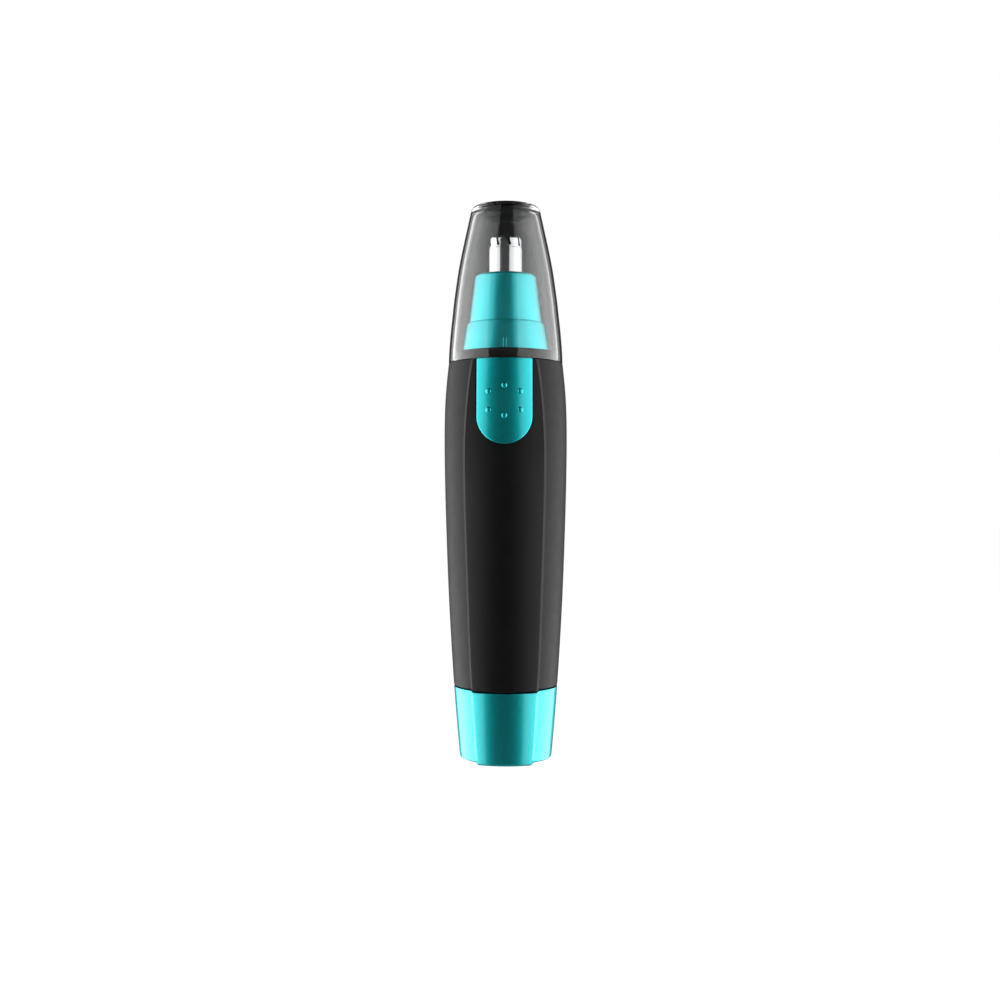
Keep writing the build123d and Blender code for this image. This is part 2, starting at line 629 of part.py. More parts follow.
# ------------------------------- motor frame -------------------------------
with BuildPart() as motor_frame:
    with BuildSketch(Plane.XY.offset(59.0)):
        Circle(11.6)
    extrude(amount=29.6)
    with BuildSketch(Plane.XY.offset(59.0)):
        Circle(12.4)
    extrude(amount=1.4)
    with BuildSketch(Plane.XY.offset(84.0)):
        Circle(12.4)
    extrude(amount=1.4)
    # screw ears beside the drive
    with BuildSketch(Plane.XY.offset(88.5)):
        with Locations((8.0, -2.5), (-8.0, -2.5)):
            Rectangle(3.6, 7.0)
    extrude(amount=3.7)
    # flat front face behind the switch
    with BuildSketch(Plane.XY.offset(58)):
        with Locations((0, -12.6)):
            Rectangle(26, 8.0)
    extrude(amount=31.5, mode=Mode.SUBTRACT)
    # cradle of the motor, open to the back
    with BuildSketch(Plane.XY.offset(60.4)):
        Circle(10.12)
        Rectangle(20.4, 15.3, mode=Mode.INTERSECT)
        with Locations((0, 6.5)):
            Rectangle(20.24, 13.0)
    extrude(amount=26.2, mode=Mode.SUBTRACT)
    with BuildSketch(Plane.XY.offset(58.5)):
        Circle(3.12)
    extrude(amount=31, mode=Mode.SUBTRACT)
    # ways for the contact tabs
    with BuildSketch(Plane.XY.offset(58.5)):
        with Locations((0, 5.93)):
            Rectangle(2.8, 0.9)
    extrude(amount=3, mode=Mode.SUBTRACT)
    with BuildSketch(Plane.XY.offset(60.4)):
        with Locations((1.3, -8.0)):
            Rectangle(3.8, 2.4)
    extrude(amount=0.8, mode=Mode.SUBTRACT)
    # screw holes
    with BuildSketch(Plane.XZ.offset(-3)):
        with Locations((8, 90.4), (-8, 90.4)):
            Circle(1.0)
    extrude(amount=10, mode=Mode.SUBTRACT)
motor_frame.part.label = "motor_frame"
export_step(motor_frame.part, "parts/motor_frame.step")

with BuildPart() as frame_screws:
    for x in (8, -8):
        with BuildSketch(Plane.XZ.offset(-2.2)):
            with Locations((x, 90.4)):
                Circle(1.5)
        extrude(amount=1.15)
        with BuildSketch(Plane.XZ.offset(-1.1)):
            with Locations((x, 90.4)):
                Circle(0.78)
        extrude(amount=10.6)
        with BuildSketch(Plane.XZ.offset(-2.3)):
            with Locations((x, 90.4)):
                Rectangle(2.0, 0.4)
                Rectangle(0.4, 2.0)
        extrude(amount=0.7, mode=Mode.SUBTRACT)
frame_screws.part.label = "frame_screws"
export_step(frame_screws.part, "parts/frame_screws.step")

# ---------------------------------- motor ----------------------------------
with BuildPart() as motor_can:
    with BuildSketch(Plane.XY.offset(MOTOR_Z0 + 2)):
        Circle(MOTOR_W / 2)
        Rectangle(MOTOR_W, MOTOR_D, mode=Mode.INTERSECT)
    extrude(amount=MOTOR_Z1 - MOTOR_Z0 - 2)
    with BuildSketch(Plane.XY.offset(MOTOR_Z0 + 1)):
        Circle(MOTOR_W / 2 - 0.6)
        Rectangle(MOTOR_W, MOTOR_D - 1.2, mode=Mode.INTERSECT)
    extrude(amount=MOTOR_Z1 - MOTOR_Z0 - 1.6, mode=Mode.SUBTRACT)
    with BuildSketch(Plane.XY.offset(MOTOR_Z1)):
        Circle(3.05)
    extrude(amount=1.5)
    with BuildSketch(Plane.XY.offset(MOTOR_Z1 - 2)):
        Circle(1.55)
    extrude(amount=5, mode=Mode.SUBTRACT)
motor_can.part.label = "motor_can"
export_step(motor_can.part, "parts/motor_can.step")

with BuildPart() as motor_magnets:
    for s in (1, -1):
        with BuildSketch(Plane.XY.offset(68)):
            Circle(9.43)
            Circle(7.4, mode=Mode.SUBTRACT)
            with Locations((s * 7.5, 0)):
                Rectangle(7.0, 12.6, mode=Mode.INTERSECT)
        extrude(amount=16)
motor_magnets.part.label = "motor_magnets"
export_step(motor_magnets.part, "parts/motor_magnets.step")

with BuildPart() as motor_bushes:
    for z0, z1 in ((60.7, 62.7), (85.95, 88.0)):
        with BuildSketch(Plane.XY.offset(z0)):
            Circle(1.54)
            Circle(1.03, mode=Mode.SUBTRACT)
        extrude(amount=z1 - z0)
motor_bushes.part.label = "motor_bushes"
export_step(motor_bushes.part, "parts/motor_bushes.step")

with BuildPart() as motor_end_cap:
    with BuildSketch(Plane.XY.offset(MOTOR_Z0)):
        Circle(MOTOR_W / 2)
        Rectangle(MOTOR_W, MOTOR_D, mode=Mode.INTERSECT)
    extrude(amount=1.95)
    with BuildSketch(Plane.XY.offset(60.6)):
        Circle(3.0)
    extrude(amount=1)
    with BuildSketch(Plane.XY.offset(60)):
        Circle(1.55)
        with Locations((0, 5.5), (0, -5.5)):
            Rectangle(2.1, 0.5)
    extrude(amount=5, mode=Mode.SUBTRACT)
motor_end_cap.part.label = "motor_end_cap"
export_step(motor_end_cap.part, "parts/motor_end_cap.step")

with BuildPart() as motor_brushes:
    for s in (1, -1):
        with BuildSketch(Plane.XY.offset(61.05)):
            with Locations((0, s * 5.5)):
                Rectangle(2.0, 0.4)
        extrude(amount=5.0)
        with BuildSketch(Plane.XY.offset(64.6)):
            with Locations((0, s * 3.9)):
                Rectangle(1.2, 3.4)
        extrude(amount=1.0)
motor_brushes.part.label = "motor_brushes"
export_step(motor_brushes.part, "parts/motor_brushes.step")

with BuildPart() as motor_shaft:
    with BuildSketch(Plane.XY.offset(60.9)):
        Circle(SHAFT_R)
    extrude(amount=36.6)
    chamfer(motor_shaft.edges().filter_by(GeomType.CIRCLE), 0.2)
motor_shaft.part.label = "motor_shaft"
export_step(motor_shaft.part, "parts/motor_shaft.step")

with BuildPart() as motor_armature:
    with BuildSketch(Plane.XY.offset(69.0)):
        Circle(6.95)
        Circle(SHAFT_R, mode=Mode.SUBTRACT)
        with PolarLocations(6.6, 3, start_angle=30):
            Rectangle(3.0, 1.3, mode=Mode.SUBTRACT)
        with PolarLocations(4.2, 3, start_angle=30):
            Rectangle(2.4, 4.2, mode=Mode.SUBTRACT)
    extrude(amount=14.0)
motor_armature.part.label = "motor_armature"
export_step(motor_armature.part, "parts/motor_armature.step")

with BuildPart() as motor_windings:
    for z0 in (66.9, 83.02):
        with BuildSketch(Plane.XY.offset(z0)):
            Circle(5.9)
            Circle(2.3, mode=Mode.SUBTRACT)
        extrude(amount=2.05)
        fillet(motor_windings.edges().filter_by(GeomType.CIRCLE).filter_by(lambda e: z0 - 0.1 < e.center().Z < z0 + 2.1 and e.radius > 5), 0.8)
motor_windings.part.label = "motor_windings"
export_step(motor_windings.part, "parts/motor_windings.step")

with BuildPart() as motor_commutator:
    with BuildSketch(Plane.XY.offset(63.9)):
        Circle(2.1)
        Circle(SHAFT_R, mode=Mode.SUBTRACT)
        with PolarLocations(2.1, 3, start_angle=90):
            Rectangle(0.8, 0.25, mode=Mode.SUBTRACT)
    extrude(amount=2.9)
motor_commutator.part.label = "motor_commutator"
export_step(motor_commutator.part, "parts/motor_commutator.step")

with BuildPart() as drive_coupling:
    with BuildSketch(Plane.XY.offset(89.0)):
        Circle(2.8)
    extrude(amount=14.0)
    with BuildSketch(Plane.XY.offset(89.0)):
        Circle(4.0)
    extrude(amount=1.0)
    with BuildSketch(Plane.XY.offset(103.0)):
        Rectangle(5.2, 1.6)
    extrude(amount=3.0)
    with BuildSketch(Plane.XY.offset(88.5)):
        Circle(SHAFT_R)
    extrude(amount=9.05, mode=Mode.SUBTRACT)
    chamfer(drive_coupling.edges().group_by(Axis.Z)[-1], 0.3)
drive_coupling.part.label = "drive_coupling"
export_step(drive_coupling.part, "parts/drive_coupling.step")
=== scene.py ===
import math

import bmesh
import bpy
import numpy as np
from mathutils import Matrix, Vector


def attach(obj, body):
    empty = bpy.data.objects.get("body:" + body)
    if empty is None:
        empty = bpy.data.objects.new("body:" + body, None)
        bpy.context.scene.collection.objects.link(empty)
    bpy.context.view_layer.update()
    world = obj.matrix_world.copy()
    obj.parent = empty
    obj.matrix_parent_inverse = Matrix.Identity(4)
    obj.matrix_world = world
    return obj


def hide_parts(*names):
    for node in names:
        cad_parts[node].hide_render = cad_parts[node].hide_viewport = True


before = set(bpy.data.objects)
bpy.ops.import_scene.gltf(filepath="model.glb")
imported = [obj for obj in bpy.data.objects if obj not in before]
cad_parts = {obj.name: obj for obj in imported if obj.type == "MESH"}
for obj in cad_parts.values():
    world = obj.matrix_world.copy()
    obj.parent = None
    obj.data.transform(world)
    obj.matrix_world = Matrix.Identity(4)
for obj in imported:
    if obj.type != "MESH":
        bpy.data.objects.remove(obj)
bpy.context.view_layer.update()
scene = bpy.context.scene
MM = 0.001

# ---------------------------------------------------------------- dimensions
HANDLE = np.array([
    (0.0, 11.10, 6.42, 2.25, 1.25),
    (3.0, 11.40, 6.62, 2.23, 1.25),
    (7.0, 11.76, 6.89, 2.20, 1.25),
    (12.0, 12.17, 7.21, 2.15, 1.25),
    (17.3, 12.57, 7.53, 2.08, 1.25),
    (23.0, 12.96, 7.84, 1.98, 1.25),
    (30.0, 13.38, 8.14, 1.86, 1.25),
    (38.0, 13.80, 8.42, 1.71, 1.25),
    (46.0, 14.14, 8.69, 1.55, 1.25),
    (54.0, 14.42, 8.95, 1.39, 1.25),
    (62.0, 14.66, 9.18, 1.22, 1.25),
    (70.0, 14.83, 9.30, 1.05, 1.25),
    (76.0, 14.89, 9.26, 0.91, 1.245),
    (81.0, 14.86, 9.02, 0.77, 1.235),
    (86.0, 14.70, 8.64, 0.58, 1.215),
    (91.0, 14.32, 8.08, 0.33, 1.18),
    (95.5, 13.85, 7.42, 0.05, 1.13),
])
STEP_RUN = 0.50
WALL = 1.9
Z_BASE_TOP, Z_HOUSING_BOTTOM, Z_HOUSING_TOP = 17.2, 17.4, 95.5
CAP_OUT = [
    (13.84, 95.62), (13.74, 98.4), (13.55, 100.9), (13.31, 103.6), (13.0, 106.4),
    (12.62, 110.0), (12.14, 113.6), (11.55, 117.6), (10.85, 121.4), (10.05, 125.2),
    (9.25, 128.8), (8.72, 131.2), (8.20, 133.65),
]
CAP_WALL, CAP_RIM, CAP_TOP, CAP_CEILING = 1.3, 95.62, 133.65, 132.0
BED = {70.0: -0.34, 76.0: -0.22, 81.0: -0.07, 86.0: 0.14, 91.0: 0.36, 95.5: 0.60}


def cubic(xs, ys):
    """Natural cubic spline through the points, as a function of x."""
    xs, ys = np.asarray(xs, float), np.asarray(ys, float)
    n = len(xs)
    h = np.diff(xs)
    a = np.zeros((n, n))
    b = np.zeros(n)
    a[0, 0] = a[-1, -1] = 1
    for i in range(1, n - 1):
        a[i, i - 1], a[i, i], a[i, i + 1] = h[i - 1], 2 * (h[i - 1] + h[i]), h[i]
        b[i] = 6 * ((ys[i + 1] - ys[i]) / h[i] - (ys[i] - ys[i - 1]) / h[i - 1])
    m = np.linalg.solve(a, b)

    def f(x):
        i = int(np.clip(np.searchsorted(xs, x) - 1, 0, n - 2))
        t, u = x - xs[i], xs[i + 1] - x
        return float(
            (m[i] * u ** 3 + m[i + 1] * t ** 3) / (6 * h[i])
            + (ys[i] / h[i] - m[i] * h[i] / 6) * u
            + (ys[i + 1] / h[i] - m[i + 1] * h[i] / 6) * t
        )

    return f


F_R, F_W, F_P, F_K = (cubic(HANDLE[:, 0], HANDLE[:, c]) for c in (1, 2, 3, 4))
F_BED = cubic(list(BED), list(BED.values()))


def panel_depth(x, z, grow=0.0):
    """Depth in front of the axis of the front panel's surface, moved out by grow."""
    r, p, k = F_R(z), F_P(z), F_K(z)
    rp = k * r + grow
    return r + p + grow - rp + math.sqrt(rp * rp - x * x)


# ------------------------------------------------------------- mesh builders
def new_object(name, verts, faces, sharp=32):
    me = bpy.data.meshes.new(name)
    me.from_pydata([tuple(c * MM for c in v) for v in verts], [], faces)
    me.update()
    return finish_mesh(name, me, sharp)


def finish_mesh(name, me, sharp=32):
    bm = bmesh.new()
    bm.from_mesh(me)
    bmesh.ops.remove_doubles(bm, verts=bm.verts, dist=2e-6)
    bmesh.ops.dissolve_degenerate(bm, edges=bm.edges, dist=1e-7)
    bmesh.ops.recalc_face_normals(bm, faces=bm.faces)
    lim = math.radians(sharp)
    for f in bm.faces:
        f.smooth = True
    for e in bm.edges:
        e.smooth = not (len(e.link_faces) == 2 and e.calc_face_angle(0.0) > lim)
    bm.to_mesh(me)
    bm.free()
    ob = bpy.data.objects.new(name, me)
    scene.collection.objects.link(ob)
    return ob


def lathe(name, profile, seg=192, sharp=32, turn=0.0):
    """A closed profile of (r, z) turned about the axis."""
    verts, faces = [], []
    n = len(profile)
    for s in range(seg):
        a = 2 * math.pi * s / seg + turn
        c, d = math.cos(a), math.sin(a)
        verts += [(r * c, r * d, z) for r, z in profile]
    for s in range(seg):
        t = (s + 1) % seg
        for i in range(n):
            j = (i + 1) % n
            if profile[i][0] < 1e-9 and profile[j][0] < 1e-9:
                continue
            q = [s * n + i, s * n + j, t * n + j, t * n + i]
            if profile[i][0] < 1e-9:
                q = [s * n + i, s * n + j, t * n + j]
            elif profile[j][0] < 1e-9:
                q = [s * n + i, s * n + j, t * n + i]
            faces.append(q)
    return new_object(name, verts, faces, sharp)


def rounded(points, radii, steps=5):
    """A closed polyline of (r, z) with its corners rounded by the given radii."""
    out = []
    n = len(points)
    for i, (p, rad) in enumerate(zip(points, radii)):
        p = np.array(p, float)
        if rad <= 0:
            out.append(tuple(p))
            continue
        a, b = np.array(points[i - 1], float), np.array(points[(i + 1) % n], float)
        u, v = (a - p), (b - p)
        lu, lv = np.linalg.norm(u), np.linalg.norm(v)
        u, v = u / lu, v / lv
        ang = math.acos(float(np.clip(np.dot(u, v), -1, 1)))
        t = min(rad / math.tan(ang / 2), lu * 0.49, lv * 0.49)
        rad = t * math.tan(ang / 2)
        c = p + (u + v) / np.linalg.norm(u + v) * (rad / math.sin(ang / 2))
        s, e = p + u * t - c, p + v * t - c
        a0, a1 = math.atan2(s[1], s[0]), math.atan2(e[1], e[0])
        da = (a1 - a0 + math.pi) % (2 * math.pi) - math.pi
        out += [tuple(c + rad * np.array((math.cos(a0 + da * k / steps), math.sin(a0 + da * k / steps)))) for k in range(steps + 1)]
    return out


def dense(curve, step):
    """Points of an open polyline through (r, z), smoothed by a cubic and sampled along z."""
    zs = [z for r, z in curve]
    f = cubic(zs, [r for r, z in curve])
    n = max(2, int(abs(zs[-1] - zs[0]) / step))
    return [(f(z), z) for z in np.linspace(zs[0], zs[-1], n + 1)]


def half_section(z, inset=0.0, sides=36, mid=52):
    """The front half of the handle's outline at z, from +X round the front to -X."""
    r, w, p, k = F_R(z), F_W(z), F_P(z), F_K(z)
    rp = k * r
    y0 = -(r + p - rp)
    ye = y0 - math.sqrt(rp * rp - w * w)
    xf = w + STEP_RUN
    yf = -math.sqrt(r * r - xf * xf)
    r2 = r - inset
    rp2 = rp - inset
    w2 = w - inset * 0.9
    ye = y0 - math.sqrt(rp2 * rp2 - w2 * w2)
    xf = w2 + STEP_RUN
    yf = -math.sqrt(r2 * r2 - xf * xf)
    foot, crest = np.array((xf, yf)), np.array((w2, ye))
    wall = np.linalg.norm(foot - crest)
    t = min(0.06, wall * 0.3)
    # side arc, stopped t short of the foot
    a_foot = math.atan2(yf, xf) + t / r2
    pts = [(r2 * math.cos(a), r2 * math.sin(a)) for a in np.linspace(0.0, a_foot, sides)]
    along = (crest - foot) / wall
    start = np.array(pts[-1])
    for s in (0.2, 0.4, 0.6, 0.8, 1.0):
        end = foot + along * t
        pts.append(tuple((1 - s) ** 2 * start + 2 * s * (1 - s) * foot + s * s * end))
    a_crest = math.asin(w2 / rp2) - t / rp2
    inner = np.array((rp2 * math.sin(a_crest), y0 - rp2 * math.cos(a_crest)))
    start = crest - along * t
    for s in (0.0, 0.2, 0.4, 0.6, 0.8):
        pts.append(tuple((1 - s) ** 2 * start + 2 * s * (1 - s) * crest + s * s * inner))
    right = pts[:]
    dish = 0.34 * float(np.interp(z, [62, 66, 70, 74, 78], [0, 0.1, 0.5, 0.9, 1.0]))
    panel = []
    for a in np.linspace(a_crest, -a_crest, mid):
        x = rp2 * math.sin(a)
        panel.append((x, y0 - rp2 * math.cos(a) + dish * (1 - (x / w2) ** 4)))
    left = [(-x, y) for x, y in reversed(right)]
    return right + panel + left


def put(obj, node, body, mat):
    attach(obj, body)
    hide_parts(node)
    obj.data.materials.clear()
    obj.data.materials.append(mat)
    return obj


def boolean(obj, cutter, op="DIFFERENCE"):
    m = obj.modifiers.new("b", "BOOLEAN")
    m.object = cutter
    m.operation = op
    m.solver = "EXACT"
    dg = bpy.context.evaluated_depsgraph_get()
    me = bpy.data.meshes.new_from_object(obj.evaluated_get(dg))
    name = obj.name
    obj.modifiers.clear()
    old = obj.data
    bpy.data.objects.remove(obj)
    bpy.data.meshes.remove(old)
    cm = cutter.data
    bpy.data.objects.remove(cutter)
    bpy.data.meshes.remove(cm)
    me.name = name
    return finish_mesh(name, me, 30)


def join(objs, name):
    verts, faces, base = [], [], 0
    for o in objs:
        verts += [tuple(v.co / MM) for v in o.data.vertices]
        faces += [[i + base for i in f.vertices] for f in o.data.polygons]
        base += len(o.data.vertices)
        me = o.data
        bpy.data.objects.remove(o)
        bpy.data.meshes.remove(me)
    return new_object(name, verts, faces)


def block(name, lo, hi, bevel=0.15):
    """A box with rounded edges."""
    bm = bmesh.new()
    bmesh.ops.create_cube(bm, size=1.0)
    for v in bm.verts:
        v.co = Vector([(l + h) / 2 + c * (h - l) for l, h, c in zip(lo, hi, v.co)])
    if bevel:
        bmesh.ops.bevel(bm, geom=bm.edges, offset=bevel, segments=3, affect="EDGES", profile=0.5)
    verts = [tuple(v.co) for v in bm.verts]
    faces = [[v.index for v in f.verts] for f in bm.faces]
    bm.free()
    return new_object(name, verts, faces)


# ------------------------------------------------------------------ materials
class Nodes:
    def __init__(self, name):
        self.mat = bpy.data.materials.new(name)
        self.mat.use_nodes = True
        self.nt = self.mat.node_tree
        self.nt.nodes.clear()
        self.out = self.add("ShaderNodeOutputMaterial")
        self.bsdf = self.add("ShaderNodeBsdfPrincipled")
        self.link(self.bsdf.outputs[0], self.out.inputs[0])
        self.tc = self.add("ShaderNodeTexCoord")

    def add(self, kind, **props):
        n = self.nt.nodes.new(kind)
        for k, v in props.items():
            setattr(n, k, v)
        return n

    def link(self, a, b):
        self.nt.links.new(a, b)

    def set(self, **vals):
        for k, v in vals.items():
            self.bsdf.inputs[k.replace("_", " ")].default_value = v

    def scaled(self, scale):
        m = self.add("ShaderNodeMapping")
        m.inputs["Scale"].default_value = scale if hasattr(scale, "__len__") else (scale,) * 3
        self.link(self.tc.outputs["Object"], m.inputs["Vector"])
        return m.outputs[0]

    def noise(self, scale, detail=3.0, rough=0.5):
        n = self.add("ShaderNodeTexNoise")
        n.inputs["Scale"].default_value = 1.0
        n.inputs["Detail"].default_value = detail
        n.inputs["Roughness"].default_value = rough
        self.link(self.scaled(scale), n.inputs["Vector"])
        return n.outputs[0]

    def ramp(self, src, lo, hi, a=0.3, b=0.7):
        r = self.add("ShaderNodeMapRange")
        r.inputs["From Min"].default_value = a
        r.inputs["From Max"].default_value = b
        r.inputs["To Min"].default_value = lo
        r.inputs["To Max"].default_value = hi
        self.link(src, r.inputs["Value"])
        return r.outputs[0]

    def colours(self, src, c0, c1, a=0.3, b=0.7):
        r = self.add("ShaderNodeValToRGB")
        r.color_ramp.elements[0].position = a
        r.color_ramp.elements[1].position = b
        r.color_ramp.elements[0].color = (*c0, 1)
        r.color_ramp.elements[1].color = (*c1, 1)
        self.link(src, r.inputs[0])
        self.link(r.outputs[0], self.bsdf.inputs["Base Color"])
        return r

    def bump(self, src, strength, distance, chain=None):
        b = self.add("ShaderNodeBump")
        b.inputs["Strength"].default_value = strength
        b.inputs["Distance"].default_value = distance
        self.link(src, b.inputs["Height"])
        if chain is not None:
            self.link(chain, b.inputs["Normal"])
        return b.outputs[0]


def soft_touch():
    m = Nodes("soft_touch_black")
    m.set(Specular_IOR_Level=0.37, Metallic=0.0)
    m.colours(m.noise(900, 4), (0.0026, 0.0027, 0.0028), (0.0042, 0.0043, 0.0045))
    m.link(m.ramp(m.noise(420, 3), 0.42, 0.48), m.bsdf.inputs["Roughness"])
    m.link(m.bump(m.noise(5200, 2), 0.10, 0.00004), m.bsdf.inputs["Normal"])
    return m.mat


def teal(name="teal_metallic", bright=1.0, rough=0.37, coat=1.66, pale=0.011):
    m = Nodes(name)
    m.set(Metallic=1.0, Coat_Weight=1.0, Coat_Roughness=0.15, Coat_IOR=coat)
    c0 = (pale, 0.76 * bright, 0.80 * bright)
    c1 = (pale * 1.6, 0.85 * bright, 0.90 * bright)
    m.colours(m.noise(5200, 2), c0, c1)
    m.link(m.ramp(m.noise(1400, 3), rough - 0.03, rough + 0.03), m.bsdf.inputs["Roughness"])
    m.link(m.bump(m.noise(6500, 2), 0.05, 0.00002), m.bsdf.inputs["Normal"])
    return m.mat


def plastic(name, c0, c1, rough, bump=0.1, scale=1800, coat=0.0):
    m = Nodes(name)
    m.set(Specular_IOR_Level=0.5, Coat_Weight=coat, Coat_Roughness=0.05)
    m.colours(m.noise(scale, 4), c0, c1)
    m.link(m.ramp(m.noise(scale * 0.4, 3), rough - 0.05, rough + 0.05), m.bsdf.inputs["Roughness"])
    m.link(m.bump(m.noise(scale * 2.2, 2), bump, 0.00004), m.bsdf.inputs["Normal"])
    return m.mat


def metal(name, c0, c1, rough, grain=(300, 300, 9000), strength=0.05, aniso=0.0):
    m = Nodes(name)
    m.set(Metallic=1.0, Anisotropic=aniso)
    m.colours(m.noise(grain, 4), c0, c1)
    m.link(m.ramp(m.noise(grain, 3), rough - 0.05, rough + 0.05), m.bsdf.inputs["Roughness"])
    m.link(m.bump(m.noise(grain, 3), strength, 0.00002), m.bsdf.inputs["Normal"])
    return m.mat


def rubber(name):
    return plastic(name, (0.010, 0.010, 0.010), (0.018, 0.018, 0.018), 0.62, 0.2, 1500)


def clear_cap():
    m = Nodes("cap_clear_plastic")
    m.set(Transmission_Weight=1.0, IOR=1.49, Specular_IOR_Level=0.38)
    m.colours(m.noise(260, 3), (0.90, 0.91, 0.915), (0.925, 0.935, 0.94))
    m.link(m.ramp(m.noise(900, 4), 0.010, 0.030), m.bsdf.inputs["Roughness"])
    lp = m.add("ShaderNodeLightPath")
    tr = m.add("ShaderNodeBsdfTransparent")
    tr.inputs[0].default_value = (0.86, 0.87, 0.88, 1)
    mix = m.add("ShaderNodeMixShader")
    m.link(lp.outputs["Is Shadow Ray"], mix.inputs[0])
    m.link(m.bsdf.outputs[0], mix.inputs[1])
    m.link(tr.outputs[0], mix.inputs[2])
    m.link(mix.outputs[0], m.out.inputs[0])
    return m.mat


M_BLACK = soft_touch()
M_TEAL = teal()
# a brighter, paler copy of the teal for the cone and collar inside the cap: painted light that makes up for the cap's
# dimming
M_TEAL_HEAD_PAINTED_LIGHT = teal("teal_head_painted_light", 1.08, pale=0.028)
M_TEAL_SWITCH = teal("teal_switch", coat=1.52, pale=0.006)
M_NECK = plastic("neck_black_gloss", (0.008, 0.008, 0.008), (0.013, 0.013, 0.013), 0.22, 0.04, 1200)
M_CAP = clear_cap()
M_TUBE = metal("cutter_steel_polished", (0.94, 0.94, 0.94), (1.0, 1.0, 1.0), 0.10, (500, 500, 7000), 0.03)
# steel darkened for the inside of the cutter tube: painted shade in the bore and slots
M_TUBE_BORE_SHADE = metal("cutter_bore_painted_shade", (0.10, 0.10, 0.10), (0.17, 0.17, 0.17), 0.45, (2500, 2500, 2500), 0.1)
M_BLADE = metal("blade_steel_ground", (0.30, 0.30, 0.31), (0.42, 0.42, 0.43), 0.28, (6000, 6000, 600), 0.12)
M_SPRING = metal("spring_steel_drawn", (0.55, 0.55, 0.56), (0.68, 0.68, 0.69), 0.24, 2600, 0.05)
M_SCREW = metal("screw_zinc", (0.42, 0.42, 0.40), (0.56, 0.56, 0.54), 0.34, 1500, 0.08)
M_SHAFT = metal("shaft_ground", (0.60, 0.60, 0.61), (0.70, 0.70, 0.71), 0.18, (400, 400, 9000), 0.05)
M_CAN = metal("motor_can_plated", (0.48, 0.49, 0.50), (0.58, 0.59, 0.60), 0.33, 900, 0.05)
M_STACK = metal("armature_laminations", (0.16, 0.17, 0.18), (0.34, 0.35, 0.36), 0.42, (200, 200, 5200), 0.5)
M_MAGNET = plastic("magnet_ferrite", (0.035, 0.034, 0.036), (0.06, 0.058, 0.06), 0.55, 0.4, 1600)
M_COPPER = metal("winding_copper_enamel", (0.40, 0.10, 0.03), (0.62, 0.20, 0.07), 0.30, (500, 500, 4200), 0.7)
M_COMM = metal("commutator_copper", (0.62, 0.27, 0.13), (0.72, 0.36, 0.20), 0.25, (900, 900, 200), 0.2)
M_BRASS = metal("contact_brass", (0.58, 0.42, 0.17), (0.70, 0.54, 0.26), 0.28, 1700, 0.06)
M_BRONZE = metal("bush_bronze", (0.32, 0.20, 0.09), (0.46, 0.31, 0.15), 0.48, 4200, 0.4)
M_FRAME = plastic("frame_light_grey", (0.42, 0.43, 0.43), (0.50, 0.51, 0.51), 0.45, 0.12, 1100)
M_ENDCAP = plastic("end_cap_white", (0.60, 0.60, 0.58), (0.70, 0.70, 0.67), 0.42, 0.1, 1300)
M_ACETAL = plastic("acetal_white", (0.66, 0.66, 0.63), (0.76, 0.76, 0.73), 0.36, 0.08, 1300)
M_RUBBER = rubber("seal_rubber_black")
M_CELL = metal("cell_nickel", (0.55, 0.55, 0.54), (0.68, 0.68, 0.67), 0.24, 900, 0.04)


def sleeve():
    """Plain two-tone wrap of the cell: dark body and a copper-coloured band at its top."""
    m = Nodes("cell_wrap")
    m.set(Specular_IOR_Level=0.5, Coat_Weight=0.6, Coat_Roughness=0.08, Roughness=0.3)
    sep = m.add("ShaderNodeSeparateXYZ")
    m.link(m.tc.outputs["Object"], sep.inputs[0])
    r = m.add("ShaderNodeValToRGB")
    r.color_ramp.interpolation = "CONSTANT"
    r.color_ramp.elements[0].color = (0.015, 0.03, 0.05, 1)
    r.color_ramp.elements[1].position = 0.5
    r.color_ramp.elements[1].color = (0.45, 0.20, 0.06, 1)
    m.link(m.ramp(sep.outputs["Z"], 0.0, 1.0, 0.0445 - 0.01, 0.0445 + 0.01), r.inputs[0])
    m.link(r.outputs[0], m.bsdf.inputs["Base Color"])
    m.link(m.bump(m.noise(1400, 2), 0.05, 0.00003), m.bsdf.inputs["Normal"])
    return m.mat


M_WRAP = sleeve()

# ------------------------------------------------------------ protective cap
outer = dense(CAP_OUT, 0.5)
inner_pts = [(CAP_OUT[0][0] - CAP_WALL, CAP_RIM)] + [(r - CAP_WALL, z) for r, z in CAP_OUT[1:-2]] + [(7.25, CAP_CEILING)]
inner = dense(inner_pts, 0.5)


def blend_end(curve, centre_z, rad):
    """The last stretch of a curve running up to (r, z) turned into the flat end by a fillet."""
    r_end, z_end = curve[-1]
    keep = [p for p in curve if p[1] < z_end - rad * 1.02]
    a = np.array(keep[-1], float)
    b = np.array((r_end, z_end))
    slope = (b - a) / np.linalg.norm(b - a)
    return rounded([tuple(a), (r_end, z_end), (0.0, centre_z)], [0, rad, 0], 12), keep


top_o, keep_o = blend_end(outer, CAP_TOP + 0.05, 2.3)
top_i, keep_i = blend_end(inner, CAP_CEILING + 0.25, 2.0)
prof = keep_o[:-1] + top_o
inn = keep_i[:-1] + top_i
rim_o, rim_i = prof[0], inn[0]
foot = CAP_RIM - 0.07
prof = [(rim_o[0] - 0.10, foot), (rim_o[0] - 0.03, foot + 0.03), (rim_o[0], foot + 0.12)] + prof[1:]
inn = [(rim_i[0] + 0.10, foot), (rim_i[0], foot + 0.10)] + inn[1:]
cap = lathe("protective_cap_look", prof + inn[::-1], 288, 40)
put(cap, "protective_cap", "cap", M_CAP)

